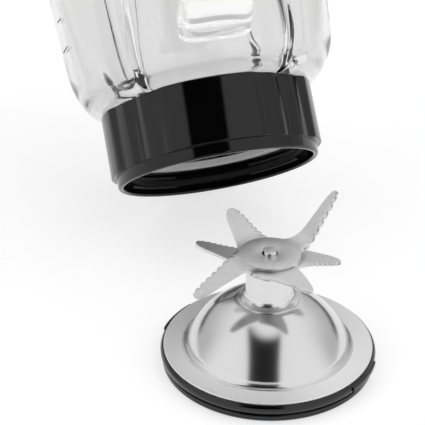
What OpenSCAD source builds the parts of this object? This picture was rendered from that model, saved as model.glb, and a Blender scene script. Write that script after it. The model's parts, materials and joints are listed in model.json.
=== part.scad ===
// Blender jug with a lift-off blade unit. Millimetres, +Z up.
// The origin is the centre of the blade unit's underside. The jug is held tilted behind the unit.

/* [Blade unit] */
// Outer radius of the black base ring
ring_r = 48.4; // [48:0.1:48.6]
// Height of the flange's top face above the table
flange_z = 9.4; // [9:0.1:9.8]
// Radius of the steel flange
flange_r = 47; // [45:0.5:47]
// Thickness of the pressed steel
plate_t = 1; // [0.8:0.1:1.2]
// Radius of the ball that the dome is part of
dome_r = 39.9; // [39.6:0.1:40.2]
// Radius of the bearing boss
boss_r = 10.3; // [10.2:0.1:10.8]
// Height of the boss's top
boss_top = 47.7; // [46:0.1:49]
// Radius of the drive shaft
shaft_r = 3.95; // [3.9:0.01:3.97]

/* [Blades] */
// Radius of each blade's middle disc
hub_r = 13.8; // [12:0.2:15]
// Thickness of the blade steel
blade_t = 1.5; // [1.2:0.1:1.5]
// Width of a blade arm at its root
arm_w = 13; // [10:0.5:15]
// Depth of the teeth along a cutting edge
tooth = 0.9; // [0.4:0.1:1.2]

/* [Jug] */
// Angle of the jug from upright
jug_tilt = 38; // [36:0.5:38]
// Outer radius of the collar's raised panels
collar_r = 55.5; // [55:0.1:56]
// Height of the collar
collar_h = 38.5; // [38:0.5:39]
// Radius of the collar's mouth
mouth_r = 49.9; // [49.8:0.1:50.2]
// Height of the glass's rim above the collar's mouth
jug_h = 225; // [215:1:230]
// Radius of the glass at its rim
rim_r = 78.5; // [77:0.5:80]
// Thickness of the glass
wall = 3.6; // [3:0.1:4]
// Depth of the four grooves in the glass
groove = 8; // [4:0.5:9]
// Width of the handle
handle_w = 36; // [28:1:40]
// How far the handle reaches from the jug's axis
handle_reach = 108; // [104:1:112]

/* [Lid] */
// Radius of the filler hole in the lid
filler_r = 24; // [20:0.5:28]
// Height of the lid above the glass's rim
lid_h = 11; // [8:0.5:14]

/* [Hidden] */
$fn = 96;

// Where the centre of the collar's mouth is held, and which way the jug leans
mouth_at = [-7.1, 120.4, 33.8];
lean_from_y = 10;

gap = 0.4;              // room between faces of parts that come apart
run = 0.05;             // running clearance of the shaft
housing_bore = 8;       // radius of the bearings' seat
land_z = 32.4;          // top face of the dome's flat land, where the boss stands
dome_top_r = 16;        // where the dome meets the land
dome_foot_r = 37;       // where the dome meets the flange
dome_c = land_z - 0.7 - sqrt(dome_r * dome_r - dome_top_r * dome_top_r);  // centre of the ball
dome_start = asin(dome_top_r / dome_r);
dome_steps = 14;
dome_step = (asin(dome_foot_r / dome_r) - dome_start) / dome_steps;
hub_top = boss_top + 3.2 + 3 * blade_t;
stud_r = 3.4;           // shaft's end above the blades
screw_at = 36.5;        // radius of the screws' circle
screw_angles = [30, 150, 270];
lug_angles = [-50, 130];
neck_r = 48.1;          // glass inside the collar
jug_turn = 3.8;         // the handle's bearing from the direction the jug leans from
neck_z = 16;            // lower edge of the glass
seat_z = 13;            // lower face of the seal under the glass
lip_h = 6;              // plain lip below the collar's panels
collar_turn = 6.5;      // the panels' bearing from the handle
rib = 0.9;              // how far a thread rib stands in from the mouth
jug_steps = 96;

// A blade arm: azimuth of its tip, bend from level (up is positive), length from the
// shaft's axis and width as a share of arm_w
upper_arms = [[27.4, 44, 44, 0.55], [201.4, -30, 39.1, 0.85]];
middle_arms = [[110.9, 12, 38.8, 0.85], [298.3, -8, 30.7, 0.9]];
lower_arms = [[156.7, 8, 33.7, 0.9], [-1.2, -8, 30.9, 0.9]];

function smooth(t) = let (u = min(1, max(0, t))) u * u * (3 - 2 * u);
function turn(a) = ((a + 180) % 360 + 360) % 360 - 180;
function bump(a, at, w) = exp(-pow(turn(a - at) / w, 2));

// Puts an upright jug part where the jug is held
module held() {
    translate(mouth_at)
        rotate(a = jug_tilt, v = [-cos(lean_from_y), -sin(lean_from_y), 0])
            rotate(jug_turn) children();
}

module tube(r_in, r_out, z0, z1) {
    rotate_extrude() translate([r_in, z0]) square([r_out - r_in, z1 - z0]);
}

// ---- Blade unit ----

module screw_holes(r) {
    for (a = screw_angles) rotate(a) translate([screw_at, 0, -1]) cylinder(r = r, h = 20);
}

module base_ring() color("#161616") {
    difference() {
        union() {
            rotate_extrude() polygon([
                [41, 0], [46.6, 0], [47.6, 1], [47.6, 3.4], [46.8, 3.8], [46.8, 4.6],
                [ring_r, 5], [ring_r, flange_z - 0.5], [flange_r + 0.25, flange_z - 0.5],
                [flange_r + 0.25, flange_z - 2], [41, flange_z - 2]]);
            for (a = screw_angles) rotate(a)
                translate([screw_at - 4, -5, 3.6]) cube([10, 10, flange_z - 6.6]);
            for (a = lug_angles) rotate(a)
                rotate_extrude(angle = 27) translate([ring_r - 1, 5.5])
                    square([1.8, flange_z - 7.1]);
        }
        screw_holes(1.3);
    }
}

module unit_gasket() color("#202020")
    tube(41.5, flange_r - 0.1, flange_z - 1.95, flange_z - plate_t - 0.02);

module blade_plate() color("#c9ccce") rotate_extrude() polygon(concat(
    [[10, land_z], [14.6, land_z]],
    [for (s = [0 : dome_steps]) let (a = dome_start + s * dome_step)
        [dome_r * sin(a), dome_c + dome_r * cos(a)]],
    [[37.2, flange_z + 0.25], [37.6, flange_z + 0.4], [38, flange_z + 0.25], [38.4, flange_z],
     [flange_r - 0.3, flange_z], [flange_r, flange_z - 0.3], [flange_r, flange_z - plate_t],
     [36.4, flange_z - plate_t]],
    [for (s = [dome_steps : -1 : 0]) let (a = dome_start + s * dome_step, r = dome_r - plate_t)
        [r * sin(a), dome_c + r * cos(a)]],
    [[14.2, land_z - plate_t], [10, land_z - plate_t]]));

module bearing_housing() color("#d4d6d8") rotate_extrude() polygon([
    [4.6, 12.4], [9.8, 12.4], [9.8, land_z], [13.6, land_z], [13.6, land_z + 0.6],
    [11.6, land_z + 1.6], [boss_r, land_z + 3], [boss_r, boss_top - 0.6],
    [boss_r - 0.6, boss_top], [housing_bore, boss_top], [housing_bore, 36],
    [6, 36], [6, 22], [housing_bore, 22], [housing_bore, 13.6], [4.6, 13.6]]);

module housing_nut() color("#b6b8ba") difference() {
    union() {
        translate([0, 0, land_z - plate_t - 6.6]) cylinder(r = 15, h = 6, $fn = 6);
        translate([0, 0, land_z - plate_t - 2]) cylinder(r = 12.5, h = 1.98);
    }
    translate([0, 0, 10]) cylinder(r = 9.82, h = 30);
}

module bearing(z) tube(shaft_r + run, housing_bore - 0.02, z, z + 7);

module upper_bearing() color("#8f9396") bearing(36.1);

module lower_bearing() color("#8f9396") bearing(14.9);

module shaft_seal() color("#2a2a2a")
    tube(shaft_r + run, housing_bore - 0.05, 43.3, boss_top - 0.2);

module under_cover() color("#1b1b1b") difference() {
    tube(15, 40.8, 1.2, 3.5);
    screw_holes(1.7);
}

module cover_screws() color("#a9abad") for (a = screw_angles) rotate(a)
    translate([screw_at, 0, 0]) {
        translate([0, 0, 0.3]) cylinder(r = 2.6, h = 0.9);
        translate([0, 0, 1.2]) cylinder(r = 1.25, h = 4.2);
    }

// ---- Rotor ----

module drive_shaft() color("#c0c3c5") union() {
    translate([0, 0, 3]) cylinder(r = shaft_r, h = boss_top + 3.2 - 3);
    intersection() {
        translate([0, 0, boss_top]) cylinder(r = stud_r, h = hub_top + 2 - boss_top);
        translate([-2.6, -5, boss_top - 1]) cube([5.2, 10, 20]);
    }
}

module blade_spacer() color("#b9bcbe") tube(shaft_r + run, 7, boss_top + 0.4, boss_top + 3.18);

// Plan of one arm from its root to its tip, toothed along its leading edge
function arm_plan(len, root, x0) = let (n = 8) concat(
    [[hub_r - 5, root], [len * 0.62, root * 0.95], [len * 0.86, root * 0.6],
     [len * 0.97, root * 0.1], [len, -root * 0.42]],
    [for (i = [n : -1 : 0], e = [1, 0])
        let (x = x0 + (len * 0.97 - x0) * (i + e * 0.5) / (n + 0.5),
             y = root * (0.95 - 0.35 * smooth(x / len * 2 - 1)))
        [x, e * tooth - y]],
    [[hub_r - 5, -root]]);

// Seen from the side, an arm is a strip with one bend just outside the hub
module arm(azimuth, bend, len, share) {
    t = blade_t - 0.02;
    at = hub_r + 0.8;
    reach = (len - at) * cos(bend);
    rise = (len - at) * sin(bend);
    rotate(azimuth + atan2(arm_w * share * 0.21, at + reach)) intersection() {
        rotate([90, 0, 0]) translate([0, 0, -10]) linear_extrude(20) polygon([
            [hub_r - 5, 0], [at, 0], [at + reach, rise],
            [at + reach - t * sin(bend), rise + t * cos(bend)],
            [at - t * tan(bend / 2), t], [hub_r - 5, t]]);
        translate([0, 0, -40]) linear_extrude(80)
            polygon(arm_plan(at + reach, arm_w * share / 2, at + 0.6));
    }
}

module blade(arms, z) translate([0, 0, z]) difference() {
    union() {
        cylinder(r = hub_r, h = blade_t - 0.02);
        for (a = arms) arm(a[0], a[1], a[2], a[3]);
    }
    translate([0, 0, -5]) cylinder(r = stud_r + 0.02, h = 10);
}

module upper_blade() color("#b4b6b8") blade(upper_arms, hub_top - blade_t);

module middle_blade() color("#aeb0b2") blade(middle_arms, hub_top - 2 * blade_t);

module lower_blade() color("#a8aaac") blade(lower_arms, hub_top - 3 * blade_t);

module thrust_washer() color("#caa86a") tube(shaft_r + run, 6.5, 11.2, 12.1);

module retaining_clip() color("#5c5f61") tube(shaft_r + 0.02, 6.2, 10.2, 11.1);

module drive_coupler() color("#1a1a1a") difference() {
    union() {
        translate([0, 0, 0.8]) cylinder(r = 9, h = 7.2);
        for (a = [0 : 60 : 300]) rotate(a) translate([9, 0, 0.8]) cylinder(r = 2.2, h = 7.2, $fn = 32);
    }
    translate([0, 0, 3]) cylinder(r = shaft_r + 0.02, h = 10);
    cylinder(r = 5.5, h = 2.9, $fn = 6);
}

// ---- Jug ----

// Radius of the collar's wall at an angle from the handle
function collar_wall(a) = let (q = abs(turn(4 * (a + collar_turn))) / 4)
    collar_r - 1.9 * smooth((q - 23) / 9) - 1.3 * exp(-pow((q - 44) / 5, 2));

module collar() color("#101010") held() {
    difference() {
        union() {
            translate([0, 0, lip_h]) linear_extrude(collar_h - lip_h)
                polygon([for (a = [0 : 3 : 357]) collar_wall(a) * [sin(a), -cos(a)]]);
            tube(mouth_r - 1, collar_r - 2.7, 0, lip_h + 1);
        }
        translate([0, 0, -1]) cylinder(r = mouth_r, h = neck_z + 1);
        translate([0, 0, -1]) cylinder(r = neck_r + 0.3, h = collar_h + 2);
    }
    for (a = [20 : 90 : 290], z = [4, 9]) rotate(a)
        rotate_extrude(angle = 40) translate([mouth_r - rib, z]) square([rib + 0.5, 1.3]);
}

module jug_seal() color("#dcdcdc") held() tube(42.5, 49.6, seat_z, neck_z - 0.2);

// Outer radius of the glass at a height
outer = [[16, 47.3], [17, 48.1], [36, 48.1], [38.8, 48.1], [39.2, 53.6], [40.4, 57.6], [43.7, 61.4],
         [50, 65], [57, 67.5], [66, 68.8], [78, 69.8], [105, 71.6], [135, 73.5], [165, 75.4],
         [180, 76.4], [195, 77.4], [208, 78.3], [jug_h - 1, rim_r], [jug_h, rim_r - 0.8]];
function groove_at(z) = groove * smooth((z - 38) / 10) * smooth((206 - z) / 30);
function dents(a, z) = groove_at(z) * (bump(a, 45, 7) + bump(a, -45, 7)
                     + bump(a, 135, 7) + bump(a, -135, 7));
function spout(a, z) = 9 * smooth((z - 190) / 35) * bump(a, 180, 13);
function full_side(a, z) = 3.2 * smooth((z - 36) / 24) * smooth((215 - z) / 60) * bump(a, 90, 42);
inner = concat(
    [[jug_h, rim_r - wall + 0.8]],
    [for (i = [len(outer) - 2 : -1 : 8]) [outer[i][0], outer[i][1] - wall]],
    [[50.5, 61.6], [46, 57.4], [42.8, 51], [41, 46], [39, 44.3], [17, 43.9], [16, 44.7]]);

function skin(rows) = [for (p = rows, i = [0 : jug_steps - 1])
    let (a = i * 360 / jug_steps, r = p[1] - dents(a, p[0]) + spout(a, p[0]) + full_side(a, p[0]))
    [r * sin(a), -r * cos(a), p[0]]];

// The glass is one closed skin: up the outside, over the rim and down the inside
module glass_jug() color([0.85, 0.9, 0.9, 0.4]) held() {
    rows = concat(outer, inner);
    n = len(rows);
    polyhedron(skin(rows), [for (j = [0 : n - 1], i = [0 : jug_steps - 1])
        let (k = (j + 1) % n, m = (i + 1) % jug_steps)
        each [[j * jug_steps + i, k * jug_steps + i, k * jug_steps + m],
              [j * jug_steps + i, k * jug_steps + m, j * jug_steps + m]]]);
}

module jug_handle() color([0.85, 0.9, 0.9, 0.5]) held() difference() {
    rotate([90, 0, -90]) translate([0, 0, -handle_w / 2]) linear_extrude(handle_w)
        difference() {
            polygon([[50, 52], [66, 52], [handle_reach - 8, 65], [handle_reach, 74],
                     [handle_reach, 182], [handle_reach - 10, 192], [50, 192]]);
            polygon([[40, 68], [66, 68], [handle_reach - 18, 77], [handle_reach - 14, 82],
                     [handle_reach - 14, 172], [handle_reach - 19, 178], [40, 178]]);
        }
    translate([0, 0, 40]) cylinder(r1 = 65.5, r2 = 76.2, h = 160);
}

// ---- Lid ----

module lid_shell() color("#141414") held() {
    rotate_extrude() polygon([
        [filler_r, jug_h - 6], [filler_r + 2.5, jug_h - 6], [filler_r + 2.5, jug_h + lid_h - 4],
        [69, jug_h + 2.6], [69, jug_h - 14], [71.5, jug_h - 14], [71.5, jug_h + gap],
        [rim_r + 1.5, jug_h + gap], [rim_r + 2, jug_h + 1], [rim_r + 2, jug_h + 2.6],
        [rim_r, jug_h + 4], [filler_r + 12, jug_h + lid_h - 1], [filler_r + 8, jug_h + lid_h],
        [filler_r, jug_h + lid_h]]);
    rotate(180) translate([-14, rim_r, jug_h + 1]) cube([28, 14, 2.6]);
}

module lid_seal() color("#d8d8d8") held() tube(71.6, 74.4, jug_h - 10, jug_h - 5);

module filler_cap() color([0.8, 0.85, 0.85, 0.5]) held() difference() {
    union() {
        translate([0, 0, jug_h - 18]) cylinder(r = filler_r - gap, h = lid_h + 18 + gap);
        translate([0, 0, jug_h + lid_h + gap]) cylinder(r = filler_r + 5, h = 3);
    }
    translate([0, 0, jug_h - 16]) cylinder(r = filler_r - gap - 2.2, h = 60);
}

module cap_seal() color("#d8d8d8") held()
    tube(filler_r - gap + 0.01, filler_r - 0.1, jug_h + 1, jug_h + 4);

base_ring();
unit_gasket();
blade_plate();
bearing_housing();
housing_nut();
upper_bearing();
lower_bearing();
shaft_seal();
under_cover();
cover_screws();
drive_shaft();
upper_blade();
middle_blade();
lower_blade();
blade_spacer();
thrust_washer();
retaining_clip();
drive_coupler();
collar();
jug_seal();
glass_jug();
jug_handle();
lid_shell();
lid_seal();
filler_cap();
cap_seal();
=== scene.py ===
"""Looks of a glass blender jug and its lift-off blade unit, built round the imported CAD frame.

Sections and outlines are in millimetres, in the frame of the blade unit or of the upright jug.
Azimuths are in degrees from -Y, the front, towards +X, the right.
"""
import json
import math
from collections import namedtuple

import bmesh
import bpy
from mathutils import Matrix, Vector


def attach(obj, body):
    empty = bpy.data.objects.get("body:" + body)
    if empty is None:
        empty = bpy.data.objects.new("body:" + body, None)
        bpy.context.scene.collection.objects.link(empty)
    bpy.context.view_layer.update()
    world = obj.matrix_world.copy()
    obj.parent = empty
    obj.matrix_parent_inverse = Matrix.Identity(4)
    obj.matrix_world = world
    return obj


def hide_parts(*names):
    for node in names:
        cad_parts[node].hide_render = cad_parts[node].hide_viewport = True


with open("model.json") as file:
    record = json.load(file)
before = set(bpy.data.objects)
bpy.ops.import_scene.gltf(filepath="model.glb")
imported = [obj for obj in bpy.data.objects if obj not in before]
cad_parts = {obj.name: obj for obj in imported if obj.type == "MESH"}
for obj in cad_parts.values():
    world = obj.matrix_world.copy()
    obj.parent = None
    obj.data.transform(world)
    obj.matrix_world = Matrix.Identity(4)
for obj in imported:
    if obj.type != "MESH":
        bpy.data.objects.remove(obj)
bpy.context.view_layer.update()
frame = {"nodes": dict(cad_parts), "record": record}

MM = 0.001

# Base ring. A lug starts at an azimuth and covers an arc
RING_R = 48.4
RING_BORE_R = 41.0
LUG_STARTS = (40, 220)
LUG_ARC = 27

# Steel plate. Its polished dome ends and its brushed flange begins between the two finish radii, where the
# base colour also steps up to a painted brighter flange
FLANGE_Z = 9.4
FLANGE_R = 47.0
PLATE_T = 1.0
LAND_Z = 32.4
DOME_R = 39.9
DOME_TOP_R = 16.0
DOME_FOOT_R = 35.9
DOME_Z = LAND_Z - 0.7 - math.sqrt(DOME_R ** 2 - DOME_TOP_R ** 2)
FINISH_AND_PAINTED_LIGHT_R = (38.2, 38.8)

# Boss and shaft
BOSS_R = 10.3
BOSS_TOP = 47.7
BOSS_FOOT_Z = 12.4
HOUSING_BORE = 8.0
SHAFT_R = 3.95
SHAFT_TOP = BOSS_TOP + 3.2
STUD_R = 3.4
STUD_FLAT = 2.6

# Blades, as the height of the disc's underside and its two arms. An arm's azimuth is that of its tip, from
# +X towards +Y. It is bent from level over an arc. Its face may be rolled, and it may have no teeth
HUB_R = 13.8
BLADE_T = 1.5
HUB_TOP = SHAFT_TOP + 3 * BLADE_T
STUD_TOP = HUB_TOP + 1.3
Arm = namedtuple("Arm", "azimuth bend length width arc roll toothed", defaults=(0, True))
BLADES = {
    "upper_blade": (HUB_TOP - BLADE_T, [Arm(25.5, 53, 44.6, 8.5, 10),
                                        Arm(201.4, -30, 39.5, 11.5, 6)]),
    "middle_blade": (HUB_TOP - 2 * BLADE_T, [Arm(110.9, 12, 39.4, 12.5, 8),
                                             Arm(298.3, -8, 31.2, 12, 5, toothed=False)]),
    "lower_blade": (HUB_TOP - 3 * BLADE_T, [Arm(156.7, 8, 34.2, 13.5, 5, roll=-9),
                                            Arm(-1.2, -8, 31.4, 11, 5)]),
}

# Arms. A tip begins to round off at a share of the length. A plain arm is swept instead of toothed
TEETH = 7
TOOTH = 1.5
TAPER = 0.35
BLUNT = 0.8
BLUNT_PLAIN = 0.4
SWEEP = 8.0
GRIND = 0.9

# Collar. Its thread ribs start at four azimuths, on two levels
COLLAR_R = 55.5
COLLAR_H = 38.5
COLLAR_TURN = 6.5
LIP_R = COLLAR_R - 2.7
LIP_H = 6.0
MOUTH_R = 49.9
SEAT_Z = 16.0
PANEL_RISE = 1.9
PANEL_GROOVE = 1.2
RIB_STARTS = (20, 110, 200, 290)
RIB_ARC = 40
RIB_LEVELS = (4, 9)

# Glass, as (radius, height) up the outside and down the inside
NECK_R = 48.1
JUG_H = 225.0
RIM_R = 78.5
WALL = 3.6
GLASS_OUTSIDE = [(48.1, 36), (48.1, 38.6), (53.6, 39.2), (57.6, 40.6), (61.4, 43.7), (65, 50),
                 (67.5, 57), (68.8, 66), (69.8, 78), (71.6, 105), (73.5, 135), (75.4, 165),
                 (77.4, 195), (78.3, 215)]
GLASS_INSIDE = [(61.6, 50.5), (57.4, 46), (51, 42.8), (46, 41), (44.3, 39), (43.9, 36)]
GROOVES = (45, 135, 225, 315)
GROOVE = 8.0
SPOUT = 9.0
FULLER = 3.2
JUG_TURN = 3.8

# Handle. Its middle line is (distance from the jug's axis, height, corner radius)
HANDLE_LINE = [(65.4, 60, 0), (101, 73, 13), (101, 185, 13), (73.9, 185, 0)]
HANDLE_W = 36.0
HANDLE_HALF_T = 7.0

# Fill marks, just outside the glass, which leans outwards
MARKS = 9
FIRST_MARK_Z = 73.4
MARK_PITCH = 15.2
MARK_SLOPE = 0.066
MARK_R = 69.9 + (FIRST_MARK_Z - 78) * MARK_SLOPE
MARK_END = 284
MARK_T = 0.7

# Lid and filler cap
FILLER_R = 24.0
LID_H = 11.0
LID_SKIRT_R = 71.5
BRIM_R = RIM_R + 2
TAB_HALF_ARC = 9.5
GAP = 0.4

# Studio. Its front is the azimuth that the camera looks from. Seen directly, the tent is nowhere darker
# than a least share of its white
FRONT = -10.0
TENT_STRENGTH = 1.3
LEAST_SEEN = 0.9
FLOOR_GLOW = 0.64
FLOOR_HALF = 6.0


def jug_place():
    """The matrix that puts the upright jug where the frame's jug is held, with its handle turned."""
    lip = next(m for m in frame["record"]["mounts"] if m["name"] == "collar_lip")
    axis = -Vector(lip["axis"])
    mouth = Vector(lip["pos_m"]) - axis * LIP_H * MM / 2
    lean = Vector((0, 0, 1)).rotation_difference(axis).to_matrix().to_4x4()
    return Matrix.Translation(mouth) @ lean @ Matrix.Rotation(math.radians(JUG_TURN), 4, "Z")


UNIT = Matrix.Identity(4)
HELD = jug_place()


# ---- Shapes ----

def rise(value, start, end):
    """Goes smoothly from 0 at start to 1 at end, and stays level outside them."""
    t = min(1.0, max(0.0, (value - start) / (end - start)))
    return t * t * (3 - 2 * t)


def bump(angle, at, width):
    """1 at an angle in degrees, falling away on both sides."""
    off = (angle - at + 180) % 360 - 180
    return math.exp(-(off / width) ** 2)


def rounded(corners, steps=5):
    """An outline with its corners rounded. Each corner is (r, z, radius).

    It may be an open line too, if both of its ends have no radius.
    """
    out = []
    for i, (x, y, radius) in enumerate(corners):
        p = Vector((x, y))
        if not radius:
            out.append((x, y))
            continue
        before = Vector(corners[i - 1][:2]) - p
        after = Vector(corners[(i + 1) % len(corners)][:2]) - p
        half = before.angle(after) / 2
        cut = min(radius / math.tan(half), before.length * 0.48, after.length * 0.48)
        radius = cut * math.tan(half)
        start = p + before.normalized() * cut
        end = p + after.normalized() * cut
        centre = p + (before.normalized() + after.normalized()).normalized() * radius / math.sin(half)
        for k in range(steps + 1):
            spoke = (start - centre).lerp(end - centre, k / steps)
            point = centre + spoke.normalized() * radius
            out.append((point.x, point.y))
    return out


def spline(points, steps=4):
    """A smooth curve through the points, with the first and last kept."""
    out = []
    for i in range(len(points) - 1):
        p0 = Vector(points[max(i - 1, 0)])
        p1 = Vector(points[i])
        p2 = Vector(points[i + 1])
        p3 = Vector(points[min(i + 2, len(points) - 1)])
        m1 = (p2 - p0) * 0.5 * min(1, 2 * (p2 - p1).length / ((p2 - p0).length + 1e-9))
        m2 = (p3 - p1) * 0.5 * min(1, 2 * (p2 - p1).length / ((p3 - p1).length + 1e-9))
        for k in range(steps):
            t = k / steps
            out.append((2 * t ** 3 - 3 * t ** 2 + 1) * p1 + (t ** 3 - 2 * t ** 2 + t) * m1
                       + (3 * t ** 2 - 2 * t ** 3) * p2 + (t ** 3 - t ** 2) * m2)
    return out + [Vector(points[-1])]


def corners_of(curve):
    """A curve's points as corners that rounded() leaves as they are."""
    return [(p.x, p.y, 0) for p in curve]


def skin(sections, closed):
    """Points and faces over equal sections: a closed ring, or a bar with flat ends."""
    n = len(sections[0])
    count = len(sections)
    faces = []
    if not closed:
        faces = [tuple(range(n)), tuple(range((count - 1) * n, count * n))]
    for i in range(count if closed else count - 1):
        k = (i + 1) % count
        for j in range(n):
            m = (j + 1) % n
            faces.append((i * n + j, k * n + j, k * n + m, i * n + m))
    return [point for section in sections for point in section], faces


def around(r, z, turn):
    """A point at a radius, a height and an azimuth, here in radians."""
    return r * math.sin(turn), -r * math.cos(turn), z


def lathe(section, steps, radius=None):
    """A section turned round the axis. radius(r, z, degrees) may reshape it."""
    sections = []
    for i in range(steps):
        a = 2 * math.pi * i / steps
        turned = [(radius(r, z, math.degrees(a)) if radius else r, z) for r, z in section]
        sections.append([around(r, z, a) for r, z in turned])
    return skin(sections, True)


def arc_lathe(section, start, end, steps):
    """A section turned from one azimuth to another, with flat ends."""
    sections = []
    for i in range(steps + 1):
        a = math.radians(start + (end - start) * i / steps)
        sections.append([around(r, z, a) for r, z in section])
    return skin(sections, False)


def joined(*shapes):
    """Several (points, faces) as one."""
    points, faces = [], []
    for p, f in shapes:
        faces += [tuple(k + len(points) for k in face) for face in f]
        points += [tuple(v) for v in p]
    return points, faces


def moved(shape, matrix):
    return [matrix @ Vector(v) for v in shape[0]], shape[1]


def piece(name, shape, material, body, place=UNIT, sharp=32):
    """A piece in the row frame from a shape in millimetres, riding on a body.

    Edges that turn by more than the sharp angle, in degrees, aren't smoothed.
    """
    points, faces = shape
    mesh = bpy.data.meshes.new(name)
    mesh.from_pydata([place @ (Vector(v) * MM) for v in points], [], faces)
    clean = bmesh.new()
    clean.from_mesh(mesh)
    bmesh.ops.remove_doubles(clean, verts=clean.verts, dist=1e-6)
    bmesh.ops.recalc_face_normals(clean, faces=clean.faces)
    clean.to_mesh(mesh)
    clean.free()
    mesh.shade_smooth()
    mesh.set_sharp_from_angle(angle=math.radians(sharp))
    obj = bpy.data.objects.new(name, mesh)
    bpy.context.scene.collection.objects.link(obj)
    obj.data.materials.append(material)
    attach(obj, body)
    return obj


# ---- Material nodes ----

def new_material(name, **values):
    material = bpy.data.materials.new(name)
    material.use_nodes = True
    shader = material.node_tree.nodes["Principled BSDF"]
    for socket, value in values.items():
        shader.inputs[socket.replace("_", " ")].default_value = value
    return material, material.node_tree, shader


def grey(v):
    return (v, v, v, 1.0)


def map_range(tree, value, start, end, low=0.0, high=1.0, kind="LINEAR"):
    """Goes from low to high while value goes from start to end, and stays level outside them."""
    node = tree.nodes.new("ShaderNodeMapRange")
    node.interpolation_type = kind
    node.inputs["From Min"].default_value = start
    node.inputs["From Max"].default_value = end
    node.inputs["To Min"].default_value = low
    node.inputs["To Max"].default_value = high
    tree.links.new(value, node.inputs["Value"])
    return node.outputs["Result"]


def spread(tree, value, low, high):
    """The middle of a noise's range, mapped to low and high."""
    return map_range(tree, value, 0.3, 0.7, low, high)


def noise(tree, scale, low=0.0, high=1.0, stretch=(1, 1, 1), detail=4.0):
    """A noise in object space, mapped to the range low to high."""
    where = tree.nodes.new("ShaderNodeTexCoord")
    mapping = tree.nodes.new("ShaderNodeMapping")
    mapping.inputs["Scale"].default_value = stretch
    texture = tree.nodes.new("ShaderNodeTexNoise")
    texture.inputs["Scale"].default_value = scale
    texture.inputs["Detail"].default_value = detail
    tree.links.new(where.outputs["Object"], mapping.inputs["Vector"])
    tree.links.new(mapping.outputs["Vector"], texture.inputs["Vector"])
    return spread(tree, texture.outputs["Fac"], low, high)


def from_axis(tree):
    """Distance from the blade unit's axis, in metres."""
    where = tree.nodes.new("ShaderNodeTexCoord")
    flat = tree.nodes.new("ShaderNodeVectorMath")
    flat.operation = "MULTIPLY"
    flat.inputs[1].default_value = (1, 1, 0)
    length = tree.nodes.new("ShaderNodeVectorMath")
    length.operation = "LENGTH"
    tree.links.new(where.outputs["Object"], flat.inputs[0])
    tree.links.new(flat.outputs["Vector"], length.inputs[0])
    return length.outputs["Value"]


def rings(tree, scale):
    """Fine rings round the blade unit's axis, as a polishing wheel leaves."""
    texture = tree.nodes.new("ShaderNodeTexNoise")
    texture.noise_dimensions = "1D"
    texture.inputs["Scale"].default_value = scale
    texture.inputs["Detail"].default_value = 3.0
    tree.links.new(from_axis(tree), texture.inputs["W"])
    return spread(tree, texture.outputs["Fac"], 0.0, 1.0)


def on_flange(tree, dome, flange):
    """One value on the dome and another on the flange."""
    return map_range(tree, from_axis(tree), FINISH_AND_PAINTED_LIGHT_R[0] * MM, FINISH_AND_PAINTED_LIGHT_R[1] * MM, dome, flange)


def set_grey(tree, shader, factor, dark, light):
    """The base colour goes from one grey to another with factor."""
    ramp = tree.nodes.new("ShaderNodeValToRGB")
    ramp.color_ramp.elements[0].color = grey(dark)
    ramp.color_ramp.elements[1].color = grey(light)
    tree.links.new(factor, ramp.inputs["Fac"])
    tree.links.new(ramp.outputs["Color"], shader.inputs["Base Color"])


def set_roughness(tree, shader, value):
    tree.links.new(value, shader.inputs["Roughness"])


def set_relief(tree, shader, height, strength, depth):
    """Fine relief, in the shading only. Its depth is in metres."""
    node = tree.nodes.new("ShaderNodeBump")
    node.inputs["Strength"].default_value = strength
    node.inputs["Distance"].default_value = depth
    tree.links.new(height, node.inputs["Height"])
    tree.links.new(node.outputs["Normal"], shader.inputs["Normal"])


# ---- Materials ----

def gloss_black():
    material, tree, shader = new_material("gloss_black", IOR=1.42)
    set_grey(tree, shader, noise(tree, 60), 0.0012, 0.0022)
    set_roughness(tree, shader, noise(tree, 300, 0.035, 0.075))
    set_relief(tree, shader, noise(tree, 45, detail=2), 0.05, 0.0002)
    return material


def ring_black():
    material, tree, shader = new_material("ring_black", IOR=1.5)
    set_grey(tree, shader, noise(tree, 60), 0.0012, 0.0022)
    set_roughness(tree, shader, noise(tree, 300, 0.12, 0.18))
    set_relief(tree, shader, noise(tree, 60, detail=2), 0.05, 0.0002)
    return material


def satin_black():
    material, tree, shader = new_material("satin_black", IOR=1.5)
    set_grey(tree, shader, noise(tree, 90), 0.006, 0.011)
    set_roughness(tree, shader, noise(tree, 500, 0.32, 0.46))
    set_relief(tree, shader, noise(tree, 1800), 0.18, 0.0002)
    return material


def rubber():
    material, tree, shader = new_material("black_rubber", IOR=1.45)
    set_grey(tree, shader, noise(tree, 80), 0.008, 0.016)
    set_roughness(tree, shader, noise(tree, 250, 0.6, 0.8))
    set_relief(tree, shader, noise(tree, 1500), 0.25, 0.0003)
    return material


def silicone():
    material, tree, shader = new_material("pale_silicone", IOR=1.41, Subsurface_Weight=0.15,
                                          Subsurface_Scale=0.002)
    set_grey(tree, shader, noise(tree, 70), 0.62, 0.7)
    set_roughness(tree, shader, noise(tree, 200, 0.35, 0.5))
    return material


def polished_steel():
    """Steel that is polished on the dome and brushed and duller on the flange, whose brighter base colour
    is painted light.
    """
    material, tree, shader = new_material("polished_steel", Metallic=1.0)
    # Painted light: the flange's base colour is brighter than the dome's, so that it reads as lit.
    set_grey(tree, shader, on_flange(tree, 0, 1), 0.68, 0.88)
    set_roughness(tree, shader, on_flange(tree, 0.17, 0.5))
    set_relief(tree, shader, rings(tree, 6000), 0.004, 0.00003)
    return material


def turned_steel():
    material, tree, shader = new_material("turned_steel", Metallic=1.0)
    set_grey(tree, shader, noise(tree, 1, stretch=(60, 60, 3000)), 0.68, 0.74)
    set_roughness(tree, shader, noise(tree, 150, 0.2, 0.28))
    set_relief(tree, shader, noise(tree, 1, stretch=(20, 20, 6000)), 0.015, 0.00005)
    return material


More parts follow.
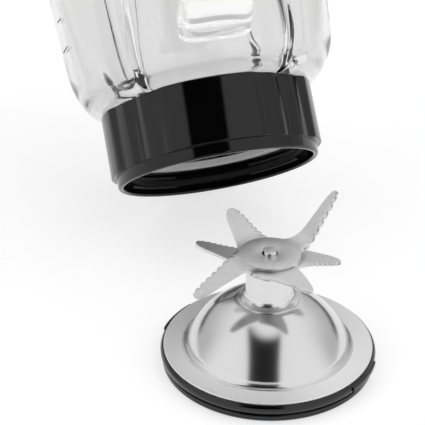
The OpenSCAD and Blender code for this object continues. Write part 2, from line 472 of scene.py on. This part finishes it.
def blade_steel():
    material, tree, shader = new_material("blade_steel", Metallic=1.0)
    set_grey(tree, shader, noise(tree, 400, stretch=(1, 1, 3)), 0.62, 0.68)
    set_roughness(tree, shader, noise(tree, 600, 0.32, 0.4))
    set_relief(tree, shader, noise(tree, 2500), 0.03, 0.00005)
    return material


def bronze():
    material, tree, shader = new_material("sintered_bronze", Metallic=1.0,
                                          Base_Color=(0.55, 0.4, 0.2, 1))
    set_roughness(tree, shader, noise(tree, 900, 0.35, 0.55))
    set_relief(tree, shader, noise(tree, 2500), 0.3, 0.0002)
    return material


def moulded_glass(name, tint, clear, ior, painted_glow):
    """Glass with a faintly wavy surface, which takes a little light away by its tint.

    A piece can be made less clear and white, and can emit light: painted light that makes the handle look
    whiter than clear glass.
    """
    material, tree, shader = new_material(name, Transmission_Weight=clear, IOR=ior,
                                          Roughness=0.0, Base_Color=grey(tint),
                                          Emission_Color=grey(1.0), Emission_Strength=painted_glow)
    set_relief(tree, shader, noise(tree, 14, detail=1), 0.12, 0.0015)
    return material


def clear_plastic():
    material, tree, shader = new_material("clear_plastic", Transmission_Weight=1.0, IOR=1.49,
                                          Roughness=0.02, Base_Color=grey(0.95))
    set_relief(tree, shader, noise(tree, 30, detail=1), 0.08, 0.001)
    return material


def scale_ink():
    material, tree, shader = new_material("scale_ink")
    set_grey(tree, shader, noise(tree, 300), 0.02, 0.05)
    set_roughness(tree, shader, noise(tree, 300, 0.4, 0.6))
    return material


def pale_floor():
    """A lit white floor, so that shadows stay faint."""
    material, tree, shader = new_material("pale_floor", Roughness=0.9, Emission_Color=grey(1.0),
                                          Emission_Strength=FLOOR_GLOW)
    set_grey(tree, shader, noise(tree, 3), 0.5, 0.51)
    return material


# ---- Blade unit ----

def ring_section():
    """Section of the black base ring: a foot, a groove and a band that holds the flange."""
    return rounded([
        (RING_BORE_R, 0, 0.4), (46.6, 0, 0.8), (47.6, 1.2, 0.6), (47.6, 3.2, 0.5),
        (46.7, 3.7, 0.25), (46.7, 4.5, 0.25), (RING_R - 0.3, 4.9, 0.4), (RING_R, 6, 0.5),
        (RING_R, FLANGE_Z - 2, 0.6), (FLANGE_R + 0.6, FLANGE_Z - 0.7, 0.3),
        (FLANGE_R + 0.2, FLANGE_Z - 0.7, 0.1), (FLANGE_R + 0.2, FLANGE_Z - 2, 0.2),
        (RING_BORE_R, FLANGE_Z - 2, 0.4)])


def base_ring(material):
    """The ring with the two lugs that the collar's thread ribs take hold of."""
    shapes = [lathe(ring_section(), 256)]
    lug = rounded([(RING_R - 1, 5.5, 0.2), (RING_R + 0.8, 5.5, 0.35), (RING_R + 0.8, 7.8, 0.35),
                   (RING_R - 1, 7.8, 0.2)], 3)
    for start in LUG_STARTS:
        shapes.append(arc_lathe(lug, start, start + LUG_ARC, 24))
    obj = piece("base_ring_piece", joined(*shapes), material, "blade_unit")
    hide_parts("base_ring")


def dome_arc(radius, sweep):
    return [(radius * math.sin(a), DOME_Z + radius * math.cos(a)) for a in sweep]


def plate_section():
    """Section of the pressed steel: a land under the boss, the dome, a bead and the flange."""
    first = math.asin(DOME_TOP_R / DOME_R)
    last = math.asin(DOME_FOOT_R / DOME_R)
    sweep = [first + (last - first) * k / 40 for k in range(41)]
    land = [(10, LAND_Z), (13.8, LAND_Z), (14.8, LAND_Z - 0.1)]
    top = dome_arc(DOME_R, sweep)
    foot = [(p.x, p.y) for p in spline([top[-1], (36.35, FLANGE_Z + 1.75), (36.75, FLANGE_Z + 0.85),
                                        (37.15, FLANGE_Z + 0.5)])]
    bead = [(37.65 + 0.45 * math.cos(t), FLANGE_Z + 0.25 + 0.38 * math.sin(t))
            for t in [math.pi * (0.85 - 0.95 * k / 10) for k in range(11)]]
    edge = rounded([(38.4, FLANGE_Z, 0), (FLANGE_R, FLANGE_Z, 0.35),
                    (FLANGE_R, FLANGE_Z - PLATE_T, 0.2), (36.3, FLANGE_Z - PLATE_T, 0)])
    under = dome_arc(DOME_R - PLATE_T, reversed(sweep))
    land_under = [(14.2, LAND_Z - PLATE_T), (10, LAND_Z - PLATE_T)]
    return land + top + foot[1:] + bead + edge + under + land_under


def blade_plate(material):
    obj = piece("blade_plate_piece", lathe(plate_section(), 288), material, "blade_unit",
                sharp=50)
    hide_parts("blade_plate")


def bearing_boss(material):
    """The boss with its flared foot on the land, and a bearing seat at each end of its bore."""
    foot = [(13.6, LAND_Z), (13.6, LAND_Z + 0.5), (12.6, LAND_Z + 0.9), (11.4, LAND_Z + 1.5),
            (10.7, LAND_Z + 2.3), (BOSS_R, LAND_Z + 3.4)]
    below = [(4.6, BOSS_FOOT_Z, 0), (9.8, BOSS_FOOT_Z, 0.3), (9.8, LAND_Z, 0)]
    top = [(BOSS_R, BOSS_TOP, 0.7), (HOUSING_BORE, BOSS_TOP, 0.3)]
    bore = [(HOUSING_BORE, 36, 0), (6, 36, 0), (6, 22, 0), (HOUSING_BORE, 22, 0),
            (HOUSING_BORE, 13.6, 0), (4.6, 13.6, 0)]
    section = rounded(below + corners_of(spline(foot)) + top + bore)
    obj = piece("bearing_housing_piece", lathe(section, 160), material, "blade_unit",
                sharp=40)
    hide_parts("bearing_housing")


# ---- Rotor ----

def arm_edges(x, arm):
    """The trailing and the leading side of a leaf-shaped arm in plan, at x from the shaft."""
    outward = rise(x, HUB_R, arm.length)
    half = arm.width / 2 * (1 - TAPER * outward) + HUB_R * 0.62 * math.exp(-(x - 5) / 6)
    if x < 8:
        half = min(half, math.sqrt(HUB_R ** 2 - x ** 2) - 0.1)
    blunt = BLUNT if arm.toothed else BLUNT_PLAIN
    tip = math.sqrt(max(0.0, 1 - max(0.0, (x / arm.length - blunt) / (1 - blunt)) ** 2))
    middle = -arm.width * 0.1 * outward
    notch = 0.0
    if arm.toothed:
        start = HUB_R + 1
        share = (x - start) / (arm.length * 0.97 - start)
        if 0 < share < 1:
            notch = TOOTH * (1 - abs(math.sin(math.pi * TEETH * share)) ** 0.6)
    else:
        middle -= SWEEP * rise(x, arm.length, 0) * rise(x, 4, 10)
    trail = middle + half * tip
    lead = middle - half * (0.1 + 0.9 * tip ** 0.7) + notch
    return trail, min(lead, trail)


def bent(x, z, at, bend, arc):
    """A point of an arm's side view after the bend, which is an arc just outside the hub."""
    along = x - at
    if along <= 0:
        return x, z
    turn = math.radians(bend)
    r = arc / turn
    a = turn * min(along, arc) / arc
    past = max(0.0, along - arc)
    x0 = at + r * math.sin(a) + past * math.cos(turn)
    z0 = r * (1 - math.cos(a)) + past * math.sin(turn)
    return x0 - z * math.sin(a), z0 + z * math.cos(a)


def arm_shape(arm):
    """One arm, with a narrow bevel ground along its leading edge.

    It begins inside the disc and is a little thinner, so that no faces lie in each other.
    """
    rows, columns = 150, 8
    first = 4.0
    half = BLADE_T / 2 - 0.03
    edge = 0.3
    roll = math.tan(math.radians(arm.roll))
    points = []
    for side in (1, -1):
        for i in range(rows + 1):
            x = first + (arm.length - first) * i / rows
            trail, lead = arm_edges(x, arm)
            for j in range(columns + 1):
                y = lead + (trail - lead) * (j / columns) ** 1.6
                thin = min(1.0, edge + (1 - edge) * (y - lead) / GRIND)
                px, pz = bent(x, side * half * thin, HUB_R - 1, arm.bend, arm.arc)
                drop = y * roll * rise(x, HUB_R - 2, HUB_R + 4)
                points.append((px, y, pz - drop + BLADE_T / 2 - 0.01))
    layer = (rows + 1) * (columns + 1)
    faces = []
    for i in range(rows):
        for j in range(columns):
            a = i * (columns + 1) + j
            b = a + columns + 1
            faces.append((a, b, b + 1, a + 1))
            faces.append((layer + a, layer + a + 1, layer + b + 1, layer + b))
    rim = [i * (columns + 1) for i in range(rows + 1)]
    rim += [rows * (columns + 1) + j for j in range(1, columns + 1)]
    rim += [i * (columns + 1) + columns for i in range(rows - 1, -1, -1)]
    rim += list(range(columns - 1, 0, -1))
    for k, a in enumerate(rim):
        b = rim[(k + 1) % len(rim)]
        faces.append((a, b, layer + b, layer + a))
    return moved((points, faces), Matrix.Rotation(math.radians(arm.azimuth), 4, "Z"))


def blade(name, material, bottom, arms):
    """A disc on the shaft's flats, with two bent arms."""
    bore = STUD_R + 0.02
    top = BLADE_T - 0.02
    disc = lathe(rounded([(bore, 0, 0.1), (HUB_R, 0, 0.2), (HUB_R, top, 0.3), (bore, top, 0.1)], 3),
                 128)
    shape = joined(disc, *[arm_shape(arm) for arm in arms])
    obj = piece(name + "_piece", moved(shape, Matrix.Translation((0, 0, bottom))), material, "rotor",
                sharp=28)
    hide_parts(name)


def drive_shaft(material):
    """The shaft, with two flats on its riveted upper end."""
    shaft = lathe(rounded([(0, 3, 0), (SHAFT_R, 3, 0.5), (SHAFT_R, SHAFT_TOP, 0.2),
                           (0, SHAFT_TOP, 0)]), 96)
    points, faces = lathe(rounded([(0, BOSS_TOP, 0), (STUD_R, BOSS_TOP, 0), (STUD_R, STUD_TOP, 0.5),
                                   (0, STUD_TOP, 0)]), 96)
    stud = [(max(-STUD_FLAT, min(STUD_FLAT, x)), y, z) for x, y, z in points]
    obj = piece("drive_shaft_piece", joined(shaft, (stud, faces)), material, "rotor")
    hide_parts("drive_shaft")


# ---- Jug ----

def collar_wall(r, z, angle):
    """The collar's outside has four raised panels. Faces further in than the wall stay round."""
    if r < COLLAR_R - 2.4 or z < LIP_H - 0.5:
        return r
    from_panel = abs((4 * (angle + COLLAR_TURN) + 180) % 360 - 180) / 4
    groove = PANEL_GROOVE * math.exp(-((from_panel - 43.5) / 3.5) ** 2)
    return r - PANEL_RISE * rise(from_panel, 23, 31) - groove


def collar(material):
    """The collar with its stepped lip, rounded rims and the thread ribs inside its mouth."""
    neck = NECK_R + 0.3
    wall = rounded([
        (MOUTH_R, 0, 1.1), (LIP_R, 0, 1.3), (LIP_R, LIP_H, 0.25), (COLLAR_R, LIP_H, 0.6),
        (COLLAR_R, COLLAR_H, 1.1), (neck, COLLAR_H, 0.6), (neck, SEAT_Z, 0.2),
        (MOUTH_R, SEAT_Z, 0.3)], 7)
    shapes = [lathe(wall, 360, collar_wall)]
    rib = rounded([(MOUTH_R + 0.4, 0, 0.1), (MOUTH_R - 0.9, 0, 0.5), (MOUTH_R - 0.9, 1.3, 0.5),
                   (MOUTH_R + 0.4, 1.3, 0.1)], 4)
    for start in RIB_STARTS:
        for level in RIB_LEVELS:
            section = [(r, level + z) for r, z in rib]
            shapes.append(arc_lathe(section, start, start + RIB_ARC, 40))
    obj = piece("collar_piece", joined(*shapes), material, "jug", HELD, sharp=38)
    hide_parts("collar")


def outside_at(z):
    """The glass's outer radius at a height, before the grooves."""
    for (r0, z0), (r1, z1) in zip(GLASS_OUTSIDE, GLASS_OUTSIDE[1:]):
        if z <= z1:
            return r0 + (r1 - r0) * (z - z0) / (z1 - z0)
    return RIM_R


def glass_radius(r, z, angle):
    """Four grooves, a spout over the back and a slightly fuller right side.

    The grooves are wider on the inside, so the glass is thicker on both sides of them.
    """
    deep = GROOVE * rise(z, 38, 50) * rise(z, 206, 176)
    width = 4.2 + 4.5 * rise(z, 42, 102)
    if r < outside_at(z) - WALL * 0.7:
        width *= 1.4
    dents = sum(bump(angle, at, width) for at in GROOVES)
    spout = SPOUT * rise(z, 190, JUG_H) * bump(angle, 180, 13)
    full = FULLER * rise(z, 36, 60) * rise(z, 215, 155) * bump(angle, 90, 42)
    return r - deep * dents + spout + full


def glass_section():
    """The glass goes up the outside, over the rim and down the inside."""
    outside = corners_of(spline(GLASS_OUTSIDE, 6))
    rim = [(RIM_R, JUG_H, 1.5), (RIM_R - WALL, JUG_H, 1.5)]
    upper = [(r - WALL, z) for r, z in reversed(GLASS_OUTSIDE) if z >= 57]
    inside = corners_of(spline(upper + GLASS_INSIDE, 6))
    foot = [(GLASS_INSIDE[-1][0], SEAT_Z, 0.8), (NECK_R, SEAT_Z, 0.8)]
    return rounded(foot + outside + rim + inside, 6)


def squared(share, half, power):
    """A circle's sine or cosine drawn out towards a rounded square."""
    return math.copysign(abs(share) ** power, share) * half


def handle():
    """The handle: a rounded bar, thicker in its lower arm and a little narrower along the grip."""
    path = [Vector(p) for p in rounded(HANDLE_LINE, 12)]
    steps = 48
    sections = []
    for i, p in enumerate(path):
        ahead = (path[min(i + 1, len(path) - 1)] - path[max(i - 1, 0)]).normalized()
        normal = Vector((ahead.y, -ahead.x))
        thick = HANDLE_HALF_T + 1.4 * rise(p.y, 90, 70)
        wide = HANDLE_W / 2 * (1 - 0.1 * rise(p.x, 80, 100))
        section = []
        for k in range(steps):
            t = 2 * math.pi * k / steps
            q = p + normal * squared(math.sin(t), thick, 0.55)
            section.append((squared(math.cos(t), wide, 0.45), -q.x, q.y))
        sections.append(section)
    return skin(sections, False)


def fuse(obj, other):
    """Joins other into obj as one closed skin."""
    union = obj.modifiers.new("fuse", "BOOLEAN")
    union.operation = "UNION"
    union.solver = "EXACT"
    union.material_mode = "TRANSFER"
    union.object = other
    bpy.context.view_layer.update()
    seen = obj.evaluated_get(bpy.context.evaluated_depsgraph_get())
    mesh = bpy.data.meshes.new_from_object(seen)
    obj.modifiers.clear()
    obj.data = mesh
    bpy.data.objects.remove(other)


def glass_jug(glass, handle_glass_painted_light):
    """The jug and its handle, moulded in one."""
    obj = piece("glass_jug_piece", lathe(glass_section(), 288, glass_radius), glass, "jug", HELD)
    bar = piece("handle_bar", handle(), handle_glass_painted_light, "jug", HELD)
    fuse(obj, bar)
    obj.data.shade_smooth()
    obj.data.set_sharp_from_angle(angle=math.radians(50))
    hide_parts("glass_jug", "jug_handle")


def scale_marks(material):
    """Fill marks printed on the jug's left side, every third longer, with no lettering."""
    shapes = []
    for i in range(MARKS):
        z = FIRST_MARK_Z + i * MARK_PITCH
        wide = 9 if i % 3 == 0 else 5.5
        r = MARK_R + (z - FIRST_MARK_Z) * MARK_SLOPE
        section = [(r - 0.02, z), (r + 0.12, z), (r + 0.12, z + MARK_T), (r - 0.02, z + MARK_T)]
        shapes.append(arc_lathe(section, MARK_END, MARK_END - wide, 8))
    piece("scale_marks", joined(*shapes), material, "jug", HELD)


# ---- Lid ----

def lid_shell(material):
    """A shell with a skirt in the jug, a brim on its rim, a cup round its hole and a tab at the handle."""
    cup_r = FILLER_R + 2.5
    skirt_in = LID_SKIRT_R - 2.5
    top = JUG_H + LID_H
    section = rounded([
        (FILLER_R, JUG_H - 6, 0.5), (cup_r, JUG_H - 6, 0.5), (cup_r, top - 4, 1),
        (skirt_in, JUG_H + 2.6, 1), (skirt_in, JUG_H - 14, 0.6), (LID_SKIRT_R, JUG_H - 14, 0.6),
        (LID_SKIRT_R, JUG_H + GAP, 0.3), (BRIM_R - 0.5, JUG_H + GAP, 0.3), (BRIM_R, JUG_H + 1, 0.3),
        (BRIM_R, JUG_H + 2.6, 0.8), (RIM_R, JUG_H + 4, 1.2), (FILLER_R + 12, top - 1, 3),
        (FILLER_R + 8, top, 2), (FILLER_R, top, 0.8)], 6)
    tab_r = RIM_R + 14
    tab = rounded([(RIM_R, JUG_H + 1, 0.3), (tab_r, JUG_H + 1, 0.9), (tab_r, JUG_H + 3.5, 0.9),
                   (RIM_R, JUG_H + 3.5, 0.3)], 4)
    shapes = [lathe(section, 240), arc_lathe(tab, -TAB_HALF_ARC, TAB_HALF_ARC, 24)]
    obj = piece("lid_shell_piece", joined(*shapes), material, "lid", HELD)
    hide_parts("lid_shell")


def filler_cap(material):
    """A clear cup that closes the filler hole, with a rim that rests on the lid."""
    outer = FILLER_R - GAP
    inner = outer - 2.2
    rim = FILLER_R + 5
    under = JUG_H + LID_H + GAP
    section = rounded([
        (0, JUG_H - 18, 0), (outer, JUG_H - 18, 2), (outer, under, 0.2), (rim, under, 0.6),
        (rim, under + 3, 1.2), (inner, under + 3, 0.8), (inner, JUG_H - 16, 1.5),
        (0, JUG_H - 16, 0)])
    obj = piece("filler_cap_piece", lathe(section, 160), material, "cap", HELD)
    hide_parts("filler_cap")


# ---- Carried-over nodes, floor, light and camera ----

def dress(nodes, material):
    """A better material on CAD nodes that stay."""
    for name in nodes:
        obj = frame["nodes"][name]
        obj.data.materials.clear()
        obj.data.materials.append(material)


def floor(material):
    mesh = bpy.data.meshes.new("floor")
    corners = [(-1, -1), (1, -1), (1, 1), (-1, 1)]
    mesh.from_pydata([(x * FLOOR_HALF, y * FLOOR_HALF, 0) for x, y in corners], [], [(0, 1, 2, 3)])
    obj = bpy.data.objects.new("floor", mesh)
    bpy.context.scene.collection.objects.link(obj)
    mesh.materials.append(material)


def shade(tree, operation, *inputs):
    """A Math node on sockets or numbers."""
    node = tree.nodes.new("ShaderNodeMath")
    node.operation = operation
    for socket, value in zip(node.inputs, inputs):
        if isinstance(value, (int, float)):
            socket.default_value = value
        else:
            tree.links.new(value, socket)
    return node.outputs["Value"]


def band(tree, value, low, high, soft):
    """1 where value is between low and high, fading to 0 over soft."""
    half = soft / 2
    over = map_range(tree, value, low - half, low + half, kind="SMOOTHSTEP")
    under = map_range(tree, value, high + half, high - half, kind="SMOOTHSTEP")
    return shade(tree, "MULTIPLY", over, under)


def towards(tree, direction, azimuth):
    """How far a direction goes towards an azimuth: 1 when it points there, -1 when it points away."""
    dot = tree.nodes.new("ShaderNodeVectorMath")
    dot.operation = "DOT_PRODUCT"
    dot.inputs[1].default_value = around(1, 0, math.radians(azimuth))
    tree.links.new(direction, dot.inputs[0])
    return dot.outputs["Value"]


def studio():
    """A white tent with a black gap at the front, a dark low strip at the back and a grey lower back.

    Each dark area has a depth, 1 for black, and the bands of direction that it lies in, as
    (component, low, high, soft edge). A band that ends at 2 or -2 is open on that side.
    """
    world = bpy.data.worlds.new("tent")
    bpy.context.scene.world = world
    world.use_nodes = True
    tree = world.node_tree
    tree.nodes.clear()
    where = tree.nodes.new("ShaderNodeTexCoord").outputs["Generated"]
    apart = tree.nodes.new("ShaderNodeSeparateXYZ")
    tree.links.new(where, apart.inputs["Vector"])
    height = apart.outputs["Z"]
    front = towards(tree, where, FRONT)
    right = towards(tree, where, FRONT + 90)
    gap = (0.99, [(right, -0.4, 0.27, 0.07), (front, 0, 2, 0.1), (height, -2, 0.95, 0.08)])
    strip = (0.9, [(front, -2, -0.6, 0.25), (height, -0.06, 0.13, 0.07)])
    lower_back = (0.4, [(front, -2, 0, 0.6), (height, -2, 0.55, 0.7)])
    level = 1.0
    for depth, bands in (gap, strip, lower_back):
        cover = depth
        for limits in bands:
            cover = shade(tree, "MULTIPLY", cover, band(tree, *limits))
        level = shade(tree, "MULTIPLY", level, shade(tree, "SUBTRACT", 1.0, cover))
    seen = tree.nodes.new("ShaderNodeLightPath").outputs["Is Camera Ray"]
    level = shade(tree, "MAXIMUM", level, shade(tree, "MULTIPLY", seen, LEAST_SEEN))
    background = tree.nodes.new("ShaderNodeBackground")
    tree.links.new(shade(tree, "MULTIPLY", level, TENT_STRENGTH), background.inputs["Strength"])
    out = tree.nodes.new("ShaderNodeOutputWorld")
    tree.links.new(background.outputs["Background"], out.inputs["Surface"])
    bpy.context.scene.view_settings.view_transform = "Standard"


def camera():
    """A long lens from the front left and above."""
    data = bpy.data.cameras.new("camera")
    data.sensor_width = 36.0
    data.lens = 112.66
    obj = bpy.data.objects.new("camera", data)
    obj.location = (-0.08504, -0.49232, 0.3469)
    pitch_down = 28.56
    yaw = -6.943
    obj.rotation_euler = (math.radians(90 - pitch_down), 0, math.radians(yaw))
    bpy.context.scene.collection.objects.link(obj)
    bpy.context.scene.camera = obj


def build():
    satin = satin_black()
    dark_rubber = rubber()
    pale = silicone()
    turned = turned_steel()
    knife = blade_steel()
    bearing = bronze()
    base_ring(ring_black())
    blade_plate(polished_steel())
    bearing_boss(turned)
    for name, (bottom, arms) in BLADES.items():
        blade(name, knife, bottom, arms)
    drive_shaft(turned)
    collar(gloss_black())
    # The handle's glass is half clear, white and emits light: painted light that whitens the handle.
    glass_jug(moulded_glass("jug_glass", tint=0.83, clear=1.0, ior=1.5, painted_glow=0.0),
              moulded_glass("handle_glass_painted_light", tint=1.0, clear=0.5, ior=1.4, painted_glow=0.12))
    scale_marks(scale_ink())
    lid_shell(satin)
    filler_cap(clear_plastic())
    dress(["unit_gasket", "shaft_seal", "drive_coupler"], dark_rubber)
    dress(["jug_seal", "lid_seal", "cap_seal"], pale)
    dress(["housing_nut", "cover_screws", "blade_spacer", "retaining_clip"], turned)
    dress(["upper_bearing", "lower_bearing", "thrust_washer"], bearing)
    dress(["under_cover"], satin)
    floor(pale_floor())
    studio()
    camera()


build()
bpy.context.view_layer.update()
